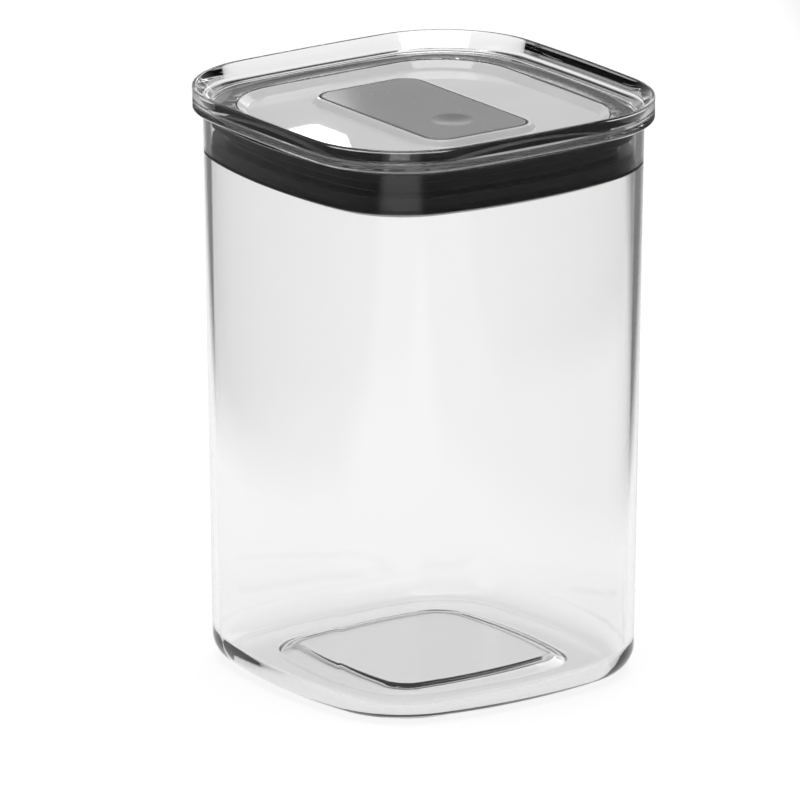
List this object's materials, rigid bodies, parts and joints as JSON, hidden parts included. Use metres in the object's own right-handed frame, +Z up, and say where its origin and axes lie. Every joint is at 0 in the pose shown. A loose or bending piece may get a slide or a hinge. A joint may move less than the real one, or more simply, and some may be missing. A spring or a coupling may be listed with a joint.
{
  "type": "lidded glass canister",
  "caption": "Tall rounded-square clear storage jar with a raised-rim lid, a flush grey rocker lever and a dark silicone seal squeezed by a plate under the lid.",
  "frame": {"origin": "centre of the jar's foot, on the surface it stands on", "axes": "+Z up through the lid, lever lies along Y with its finger dimple towards -Y, front is -Y"},
  "size_m": [0.1, 0.1, 0.15],
  "materials": {
    "clear_glass": "clear polished glass",
    "clear_plastic": "clear polished plastic",
    "light_grey_plastic": "satin moulded plastic",
    "mid_grey_plastic": "fine satin moulded plastic",
    "white_plastic": "satin moulded plastic",
    "dark_silicone": "smooth silicone",
    "stainless_steel": "drawn and rolled steel"
  },
  "bodies": {
    "jar": {"glass_jar": "clear_glass"},
    "lid": {"lid_cover": "clear_plastic", "top_panel": "light_grey_plastic", "seal_carrier": "white_plastic", "silicone_seal": "dark_silicone", "lever_pin": "stainless_steel", "panel_screw_1": "stainless_steel", "panel_screw_2": "stainless_steel", "panel_screw_3": "stainless_steel", "panel_screw_4": "stainless_steel", "return_spring_1": "stainless_steel", "return_spring_2": "stainless_steel", "return_spring_3": "stainless_steel", "return_spring_4": "stainless_steel"},
    "lever": {"lever": "mid_grey_plastic", "link_pin": "stainless_steel"},
    "plate": {"pressure_plate": "white_plastic", "lift_yoke": "white_plastic", "plate_cap": "white_plastic", "spring_screw_1": "stainless_steel", "spring_screw_2": "stainless_steel", "spring_screw_3": "stainless_steel", "spring_screw_4": "stainless_steel", "yoke_screw_1": "stainless_steel", "yoke_screw_2": "stainless_steel"}
  },
  "joints": [
    {"name": "lid_lift", "type": "slide", "parent": "jar", "child": "lid", "axis": [0, 0, 1], "range_m": [0, 0.06]},
    {"name": "lever_tilt", "type": "hinge", "parent": "lid", "child": "lever", "pos_m": [0, -0.006, 0.1406], "axis": [1, 0, 0], "range_deg": [0, 16]},
    {"name": "plate_drop", "type": "slide", "parent": "lid", "child": "plate", "axis": [0, 0, -1], "range_m": [0, 0.0018], "deforming": ["return_spring_1", "return_spring_2", "return_spring_3", "return_spring_4"]}
  ],
  "couplings": [
    {"joint": "plate_drop", "follows": "lever_tilt", "m_per_rad": 0.0064}
  ]
}
